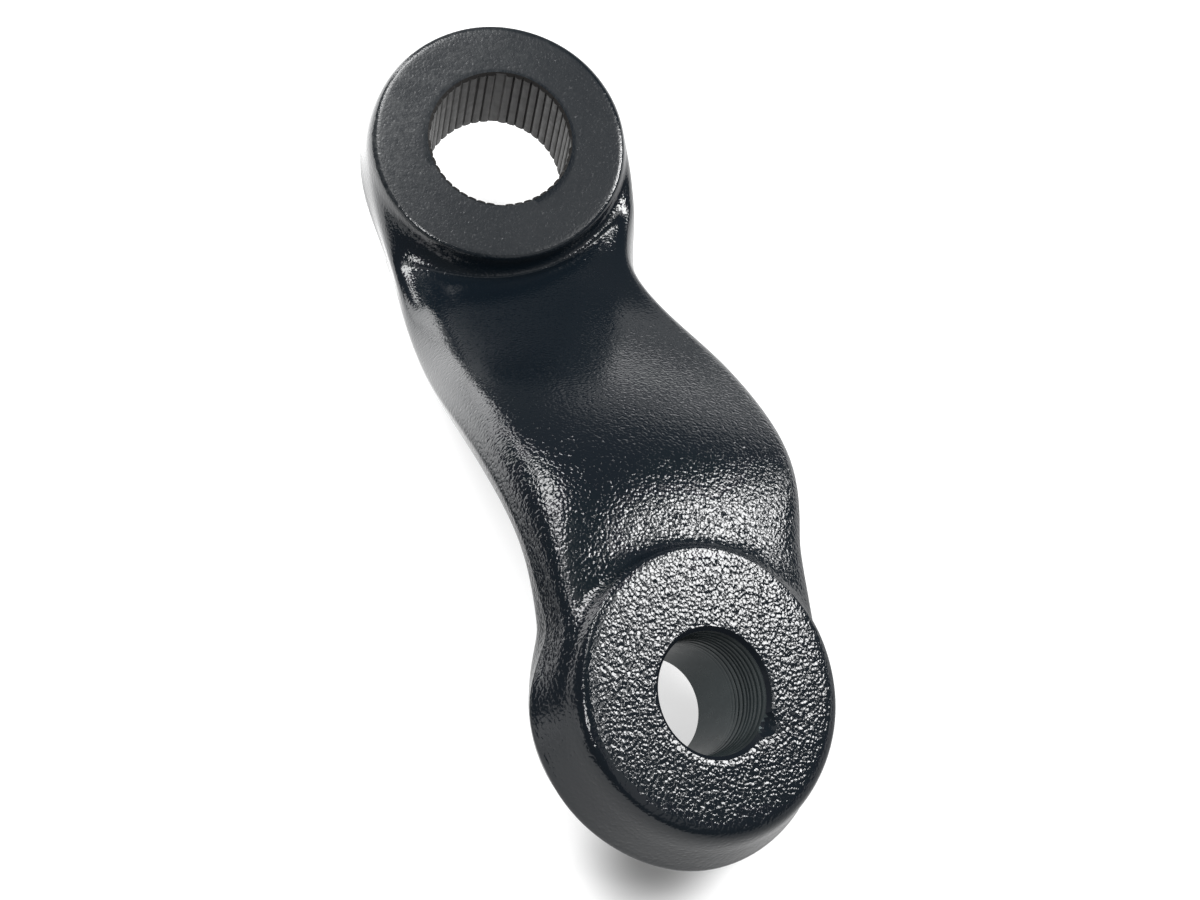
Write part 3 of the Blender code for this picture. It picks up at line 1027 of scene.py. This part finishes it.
def coat_material(finish: Coat) -> bpy.types.Material:
    """The coat, satin on the shaft boss's face and coarse on the ball-stud boss's face.

    Args:
        finish: The coat.

    Returns:
        The material.
    """
    material, bench, shader = new_material("black_powder_coat")
    shaft_face, stud_face = bench.attribute("shaft_face"), bench.attribute("stud_face")
    place = bench.place()
    # Dust in clouds and speckles, which its mask makes heavier towards one side of the shaft
    # boss's face as a painted sheen.
    speckle = bench.product(bench.noise(place, finish.speckle_size), 2.0)
    speckle = bench.math('POWER', speckle, finish.speckle_power)
    cloud = bench.noise(place, finish.cloud_size, detail=4.0)
    cloud = bench.product(bench.attribute("dust_and_sheen"), cloud, speckle, finish.dust_and_sheen_amount)
    dust_and_sheen_tone = bench.add("ShaderNodeMix", data_type='RGBA')
    for socket, value in ((0, cloud), (6, (*finish.colour, 1.0)), (7, (*finish.dust_and_sheen_colour, 1.0))):
        bench.feed(dust_and_sheen_tone.inputs[socket], value)
    patches = bench.waver(bench.noise(place, finish.patch_size, detail=3.0),
                          finish.roughness_change)
    rough = bench.mix(shaft_face, finish.roughness, finish.face_roughness)
    peel_height = bench.mix(bench.attribute("coarse"), finish.peel_height, finish.coarse_height)
    peel_height = bench.mix(stud_face, peel_height, finish.stud_face_height)
    peel_height = bench.mix(shaft_face, peel_height, finish.shaft_face_height)
    grain_height = bench.mix(shaft_face, finish.grain_height, finish.face_grain_height)
    peel = bench.add("ShaderNodeGroup", node_tree=orange_peel_group(finish))
    bench.fill(peel, {"Peel Size": finish.peel_size, "Peel Height": peel_height,
                      "Grain Size": finish.grain_size, "Grain Height": grain_height})
    bump = bench.add("ShaderNodeBump")
    bench.fill(bump, {"Strength": 1.0, "Distance": MM, "Height": peel.outputs["Height"]})
    bench.fill(shader, {"Base Color": dust_and_sheen_tone.outputs[2],
                        "Roughness": bench.math('ADD', rough, patches),
                        "Normal": bump.outputs["Normal"]})
    return material


def steel_material(name: str, finish: BareSteel) -> bpy.types.Material:
    """Bare steel of a bore with a faint mottle.

    Args:
        name: Name of the material.
        finish: The steel's look.

    Returns:
        The material.
    """
    material, bench, shader = new_material(name)
    mottle = bench.waver(bench.noise(bench.place(), finish.mottle_size), finish.mottle)
    bench.fill(shader, {"Base Color": (*finish.colour, 1.0), "Metallic": finish.metallic,
                        "Specular IOR Level": finish.specular,
                        "Roughness": bench.math('ADD', mottle, finish.roughness)})
    return material


@dataclass
class LyingFrame:
    """Where the arm lies in the world, worked out from the record's mounts.

    Both bosses' face normals are square to the arm's length, so their cross product is its Y axis.
    """

    record: dict
    mount_radius: float = 28.5

    def matrix(self) -> Matrix:
        """Matrix from the arm's frame in millimetres to the world in metres.

        Returns:
            The matrix.
        """
        mounts = {mount["name"]: mount for mount in self.record["mounts"]}
        up = Vector(mounts["shaft_nut_face"]["axis"]).normalized()
        stud_up = Vector(mounts["stud_front_face"]["axis"]).normalized()
        along = up.cross(stud_up).normalized()
        across = along.cross(up).normalized()
        origin = Vector(mounts["shaft_nut_face"]["pos_m"]) - across * self.mount_radius * MM
        turn = Matrix((across, along, up)).transposed().to_4x4()
        return Matrix.Translation(origin) @ turn @ Matrix.Scale(MM, 4)


@dataclass(frozen=True)
class CoatMap:
    """Where the coat's look changes. All pairs run from no effect to the full effect.

    The skin is coarse at the web's lower end and a little so in a ring round the shaft boss's
    neck. That boss's face has dust, laid on more thickly in one direction as a painted sheen.
    """

    level: Pair = (0.955, 0.99)
    face_depth: float = 1.5
    coarse_along: Pair = (75.0, 125.0)
    coarse_past_bore: Pair = (0.0, 26.0)
    neck_inside: Pair = (36.5, 39.5)
    neck_outside: Pair = (-51.0, -44.0)
    neck_along: Pair = (8.0, 20.0)
    neck_height: Pair = (-16.0, -10.0)
    neck_share: float = 0.12
    # Painted sheen: the shaft face's dust mask grows in this direction over the reach, from the
    # least dust.
    sheen_direction: Triple = (-0.75, 0.66, 0.0)
    sheen_reach: Pair = (-14.0, 42.0)
    least_dust: float = 0.08
    dust_and_sheen_depth: float = 2.0
    dust_and_sheen_margin: float = 1.0

    def on_face(self, boss: Boss, points: np.ndarray, normals: np.ndarray) -> np.ndarray:
        """Mask of a boss's front face, where the normals point up its axis."""
        near_face = np.abs(boss.local(points)[:, 2]) < self.face_depth
        return soft_mask((normals @ boss.turn)[:, 2], *self.level) * near_face

    def coarse(self, stud: Boss, points: np.ndarray) -> np.ndarray:
        """Mask of the coarse skin. The neck's ring fades out inwards and outwards.

        Args:
            stud: The ball-stud boss.
            points: Positions, shape (points, 3).

        Returns:
            The mask at the points.
        """
        towards_stud = -points[:, 1]
        low_end = soft_mask(towards_stud, *self.coarse_along)
        low_end *= soft_mask(stud.local(points)[:, 1], *self.coarse_past_bore)
        from_shaft = np.hypot(points[:, 0], points[:, 1])
        neck = soft_mask(from_shaft, *self.neck_inside)
        neck *= soft_mask(-from_shaft, *self.neck_outside)
        neck *= soft_mask(towards_stud, *self.neck_along)
        neck *= soft_mask(points[:, 2], *self.neck_height)
        return np.maximum(low_end, neck * self.neck_share)

    def dust_and_sheen(self, shaft: Boss, points: np.ndarray) -> np.ndarray:
        """Mask of the dust on the shaft boss's face, heavier towards one side as a painted sheen.

        Args:
            shaft: The shaft boss.
            points: Positions, shape (points, 3).

        Returns:
            The mask at the points.
        """
        # Painted sheen: heavier towards one side of the face.
        towards_sheen = soft_mask(points @ np.array(self.sheen_direction), *self.sheen_reach)
        from_shaft = np.hypot(points[:, 0], points[:, 1])
        on_boss = from_shaft < shaft.wall_radius + self.dust_and_sheen_margin
        dust_and_sheen = self.least_dust + (1.0 - self.least_dust) * towards_sheen
        return dust_and_sheen * (on_boss & (points[:, 2] > -self.dust_and_sheen_depth))


@dataclass
class PitmanArm:
    """The finished arm: forging, both bores and the coat.

    Bare steel starts a skin's depth below the faces and reaches a margin past the bores' walls.
    """

    forging: Forging = field(default_factory=Forging)
    dent: Dent = field(default_factory=Dent)
    coat: Coat = field(default_factory=Coat)
    coat_map: CoatMap = field(default_factory=CoatMap)
    spline_steel: BareSteel = BareSteel((0.016, 0.015, 0.0145), 0.50, 0.0, 0.22)
    taper_steel: BareSteel = BareSteel((0.036, 0.047, 0.050), 0.30, 0.6, 0.5)
    # Near-black, barely shiny steel on the ball-stud bore's rims: painted shade.
    rim_painted_shade_steel: BareSteel = BareSteel((0.005, 0.007, 0.010), 0.45, 0.0, 0.06)
    sharp_angle: float = 34.0
    spline_margin: float = 2.2
    mouth_margin: float = 0.2
    skin: float = 0.05

    def build(self, frame: dict) -> bpy.types.Object:
        """Builds the arm, at the origin with its place in its mesh, in place of the CAD node.

        Args:
            frame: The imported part's frame, with its record.

        Returns:
            The finished arm.
        """
        blank = self.forging.build()
        spline = SplinedBore(self.forging.shaft.thickness)
        taper = StudBore(self.forging.stud.thickness)
        cutters = spline.cutters()
        cutters += [taper.cutter(self.forging.stud), self.dent.cutter(self.forging.stud)]
        for cutter in cutters:
            cut = blank.modifiers.new(cutter.name, 'BOOLEAN')
            cut.operation = 'DIFFERENCE'
            cut.solver = 'EXACT'
            cut.object = cutter
        mesh = evaluated_copy(blank)
        for spent in (*cutters, blank):
            bpy.data.objects.remove(spent, do_unlink=True)
        arm = linked("pitman_arm_coated", mesh)
        self.dress(mesh, spline, taper)
        mesh.transform(LyingFrame(frame["record"]).matrix())
        mesh.shade_smooth()
        mesh.set_sharp_from_angle(angle=math.radians(self.sharp_angle))
        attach(arm, "root")
        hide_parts("pitman_arm")
        return arm

    def slots(self, mesh: bpy.types.Mesh, spline: SplinedBore, taper: StudBore) -> np.ndarray:
        """Material slot of every face: steel in the bores and on their rims, near-black on the
        ball-stud bore's rims as painted shade, and coat elsewhere.

        Args:
            mesh: The arm's mesh, in millimetres.
            spline: The splined bore.
            taper: The ball-stud bore.

        Returns:
            The slot of each face.
        """
        centres = vectors(mesh.polygons, "center")
        slots = np.full(len(centres), Region.COAT.value, dtype=np.int32)
        shaft, stud = self.forging.shaft, self.forging.stud
        bore_reach = taper.mouth_radius + self.mouth_margin
        for region, boss, reach, start in (
                (Region.SPLINE, shaft, spline.root_radius + self.spline_margin, self.skin),
                # The ball-stud bore's rims get the near-black painted shade.
                (Region.PAINTED_SHADE_RIM, stud, bore_reach + taper.chamfer, self.skin),
                (Region.TAPER, stud, bore_reach, taper.chamfer)):
            local = boss.local(centres)
            inside = (local[:, 2] < -start) & (local[:, 2] > -boss.thickness + start)
            slots[inside & (np.hypot(local[:, 0], local[:, 1]) < reach)] = region.value
        return slots

    def dress(self, mesh: bpy.types.Mesh, spline: SplinedBore, taper: StudBore) -> None:
        """Gives the mesh its materials by region and its masks, still in millimetres.

        Args:
            mesh: The arm's mesh.
            spline: The splined bore.
            taper: The ball-stud bore.
        """
        mesh.materials.clear()
        mesh.materials.append(coat_material(self.coat))
        # The rims' near-black steel is painted shade.
        for name, steel in (("splined_bore_steel", self.spline_steel),
                            ("taper_bore_steel", self.taper_steel),
                            ("rim_steel_painted_shade", self.rim_painted_shade_steel)):
            mesh.materials.append(steel_material(name, steel))
        mesh.polygons.foreach_set("material_index", self.slots(mesh, spline, taper))
        points = vectors(mesh.vertices, "co")
        normals = vectors(mesh.vertex_normals, "vector")
        shaft, stud = self.forging.shaft, self.forging.stud
        worn = 1.0 - self.dent.mask(points, stud)
        # The dust mask carries a painted sheen on one side of the shaft boss's face.
        masks = {"shaft_face": self.coat_map.on_face(shaft, points, normals) * worn,
                 "stud_face": self.coat_map.on_face(stud, points, normals) * worn,
                 "coarse": self.coat_map.coarse(stud, points) * worn,
                 "dust_and_sheen": self.coat_map.dust_and_sheen(shaft, points)}
        for name, mask in masks.items():
            attribute = mesh.attributes.new(name, 'FLOAT', 'POINT')
            attribute.data.foreach_set("value", mask.astype(np.float32))


@dataclass(frozen=True)
class SoftBox:
    """A soft box that looks at the arm: its size and distance in metres, its angles in degrees.

    Its azimuth is 0 along +X and 90 along +Y. Its radiance is how bright its face looks.
    """

    name: str
    azimuth: float
    elevation: float
    size: Pair
    radiance: float
    distance: float = 1.2

    @property
    def watts(self) -> float:
        """Its power: pi times radiance times area."""
        return math.pi * self.radiance * self.size[0] * self.size[1]

    @property
    def direction(self) -> Vector:
        """Direction of the lamp from the arm.

        Returns:
            The unit vector.
        """
        azimuth, elevation = math.radians(self.azimuth), math.radians(self.elevation)
        flat = math.cos(elevation)
        return Vector((flat * math.cos(azimuth), flat * math.sin(azimuth), math.sin(elevation)))


# A window on the right and a soft box behind, a low horizon, a faint fill, and small glints.
SOFT_BOXES = (
    SoftBox("window", -9.0, 41.0, (0.46, 0.30), 24.0),
    SoftBox("window_low", 9.0, 28.0, (0.22, 0.18), 10.0),
    SoftBox("window_high", -14.0, 54.0, (0.70, 0.20), 2.5),
    SoftBox("back", 121.0, 60.0, (0.48, 0.44), 15.0),
    SoftBox("left", 175.0, 64.0, (0.30, 0.30), 4.5),
    SoftBox("horizon", 46.0, 13.0, (0.50, 0.22), 0.35),
    SoftBox("horizon_wide", 52.0, 12.0, (0.90, 0.24), 0.42),
    SoftBox("left_low", 188.0, 5.0, (0.50, 0.16), 1.3),
    SoftBox("horizon_left", 118.0, 10.0, (0.70, 0.34), 3.2),
    SoftBox("overhead", 170.0, 84.0, (0.50, 0.50), 0.4),
    SoftBox("camera_side", -75.0, 38.0, (0.90, 0.70), 0.45),
    SoftBox("glint_right", -51.0, 56.0, (0.14, 0.24), 15.0),
    SoftBox("glint_left", -141.0, 46.0, (0.18, 0.34), 16.0),
    SoftBox("glint_low", 113.0, 34.0, (0.10, 0.46), 9.0),
)


@dataclass(frozen=True)
class Viewpoint:
    """The photograph's camera. Its place and directions are in the arm's frame, in millimetres."""

    eye: Triple = (-72.5, -174.7, 387.6)
    forward: Triple = (0.194, 0.192, -0.962)
    upward: Triple = (0.206, 0.951, 0.232)
    lens: float = 43.07
    sensor_width: float = 36.0
    clip: Pair = (0.01, 50.0)


@dataclass
class Studio:
    """Pale floor, soft lamps and the camera, in metres.

    For the camera the floor glows by its lift, more so far out and less towards the ball-stud end,
    which darkens the shadow there as painted shade, and a painted contact shadow darkens it under
    that end. In the coat's reflections it glows as a painted reflection, dimmed as painted shade
    at the arm's near end, to the right and round a spot.
    """

    floor_colour: float = 0.50
    floor_roughness: float = 0.9
    floor_specular: float = 0.1
    floor_size: float = 6.0
    # The lift is lower towards the ball-stud end, which lets the shadow there read darker: painted
    # shade.
    floor_lift: Pair = (0.52, 0.62)
    lift_reach: Pair = (-0.14, -0.06)
    along: Triple = (0.33, 0.94, 0.0)
    far_lift: float = 0.7
    far_reach: Pair = (0.5, 1.6)
    # Painted shade in the coat's reflections of the floor, round a spot beside the arm.
    reflection_shade_spot: Triple = (-0.14, -0.015, 0.0)
    reflection_shade_reach: Pair = (0.04, 0.10)
    reflection_shade_least: float = 0.05
    # A painted contact shadow on the floor under the ball-stud end: darker colour and less lift.
    painted_shadow_spot: Triple = (-0.0158, -0.1215, 0.0)
    painted_shadow_reach: Pair = (0.002, 0.020)
    painted_shadow_tone: float = 0.5
    painted_shadow_lift: float = 0.18
    # The floor glows in the coat's reflections as a painted reflection, dimmed at the near end and
    # to the right.
    painted_reflection_glow: float = 1.42
    reflection_glow_reach: Pair = (-0.05, 0.07)
    reflection_glow_least: float = 0.46
    reflection_right_reach: Pair = (-0.05, 0.06)
    reflection_right_least: float = 0.5
    sky: float = 0.45
    glossy_sky: float = 0.12
    view: Viewpoint = field(default_factory=Viewpoint)

    def floor(self) -> bpy.types.Object:
        """The floor that the arm lies on.

        Returns:
            The floor.
        """
        square = np.array([(-1.0, -1.0, 0.0), (1.0, -1.0, 0.0), (1.0, 1.0, 0.0), (-1.0, 1.0, 0.0)])
        floor = mesh_object("floor", square * self.floor_size / 2.0, [[0, 1, 2, 3]])
        material, bench, shader = new_material("pale_floor")
        path = bench.add("ShaderNodeLightPath").outputs
        place = bench.place()
        along = bench.measure('DOT_PRODUCT', place, self.along)
        rightward = bench.measure('DOT_PRODUCT', place, (1.0, 0.0, 0.0))
        outward = bench.measure('DISTANCE', place, (0.0, 0.0, 0.0))
        from_reflection_shade = bench.measure('DISTANCE', place, self.reflection_shade_spot)
        from_painted_shadow = bench.measure('DISTANCE', place, self.painted_shadow_spot)
        # Painted reflection and shade: how brightly the coat sees the floor, dimmed round a spot,
        # at the near end and to the right.
        fade = bench.product(
            bench.ramp(from_reflection_shade, self.reflection_shade_reach, (self.reflection_shade_least, 1.0)),
            bench.ramp(along, self.reflection_glow_reach, (self.reflection_glow_least, 1.0)),
            bench.ramp(rightward, self.reflection_right_reach, (1.0, self.reflection_right_least)))
        # Painted contact shadow: the floor's colour falls round its spot.
        shade = bench.ramp(from_painted_shadow, self.painted_shadow_reach, (self.painted_shadow_tone, 1.0))
        tone = bench.product(bench.mix(path["Is Glossy Ray"], shade, fade), self.floor_colour)
        # The lift for the camera: lower towards the ball-stud end as painted shade, more so far
        # out, and cut at the painted contact shadow.
        lift = bench.product(
            bench.math('ADD', bench.ramp(along, self.lift_reach, self.floor_lift),
                       bench.ramp(outward, self.far_reach, (0.0, self.far_lift))),
            bench.ramp(from_painted_shadow, self.painted_shadow_reach, (self.painted_shadow_lift, 1.0)))
        seen = bench.product(path["Is Camera Ray"], lift)
        # Painted reflection: the floor glows for glossy rays only.
        mirrored = bench.product(path["Is Glossy Ray"], fade, self.painted_reflection_glow)
        bench.fill(shader, {"Base Color": bench.rgb(tone), "Roughness": self.floor_roughness,
                            "Specular IOR Level": self.floor_specular,
                            "Emission Color": (1.0, 1.0, 1.0, 1.0),
                            "Emission Strength": bench.math('ADD', seen, mirrored)})
        floor.data.materials.append(material)
        return floor

    def world(self) -> None:
        """Soft even sky: white to the camera, dimmer in reflections."""
        world = bpy.data.worlds.new("studio")
        bpy.context.scene.world = world
        world.use_nodes = True
        bench = NodeBench(world.node_tree)
        path = bench.add("ShaderNodeLightPath").outputs
        sky = bench.mix(path["Is Glossy Ray"], self.sky, self.glossy_sky)
        bench.fill(world.node_tree.nodes["Background"],
                   {"Color": (1.0, 1.0, 1.0, 1.0),
                    "Strength": bench.mix(path["Is Camera Ray"], sky, 1.0)})

    def light(self) -> None:
        """Adds the lamps, which face the arm."""
        for box in SOFT_BOXES:
            data = bpy.data.lights.new(box.name, 'AREA')
            data.shape = 'RECTANGLE'
            data.size, data.size_y = box.size
            data.energy = box.watts
            lamp = linked(box.name, data)
            lamp.location = box.direction * box.distance
            lamp.rotation_euler = box.direction.to_track_quat('Z', 'Y').to_euler()

    def camera(self, place: Matrix) -> None:
        """Adds the camera, given the matrix from the arm's frame to the world.

        Args:
            place: Matrix from the arm's frame to the world.
        """
        data = bpy.data.cameras.new("camera")
        data.lens = self.view.lens
        data.sensor_width = self.view.sensor_width
        data.clip_start, data.clip_end = self.view.clip
        turn = place.to_3x3().normalized()
        back = -(turn @ Vector(self.view.forward)).normalized()
        right = (turn @ Vector(self.view.upward)).cross(back).normalized()
        matrix = Matrix((right, back.cross(right), back)).transposed().to_4x4()
        matrix.translation = place @ Vector(self.view.eye)
        camera = linked("camera", data)
        camera.matrix_world = matrix
        bpy.context.scene.camera = camera


def main() -> None:
    """Builds the arm and its studio."""
    logging.basicConfig(level=logging.INFO, format="%(message)s")
    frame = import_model()
    bpy.context.scene.view_settings.view_transform = 'Standard'
    arm = PitmanArm().build(frame)
    LOG.info("%s: %d faces", arm.name, len(arm.data.polygons))
    studio = Studio()
    studio.floor()
    studio.world()
    studio.light()
    studio.camera(LyingFrame(frame["record"]).matrix())


if __name__ == "__main__":
    main()
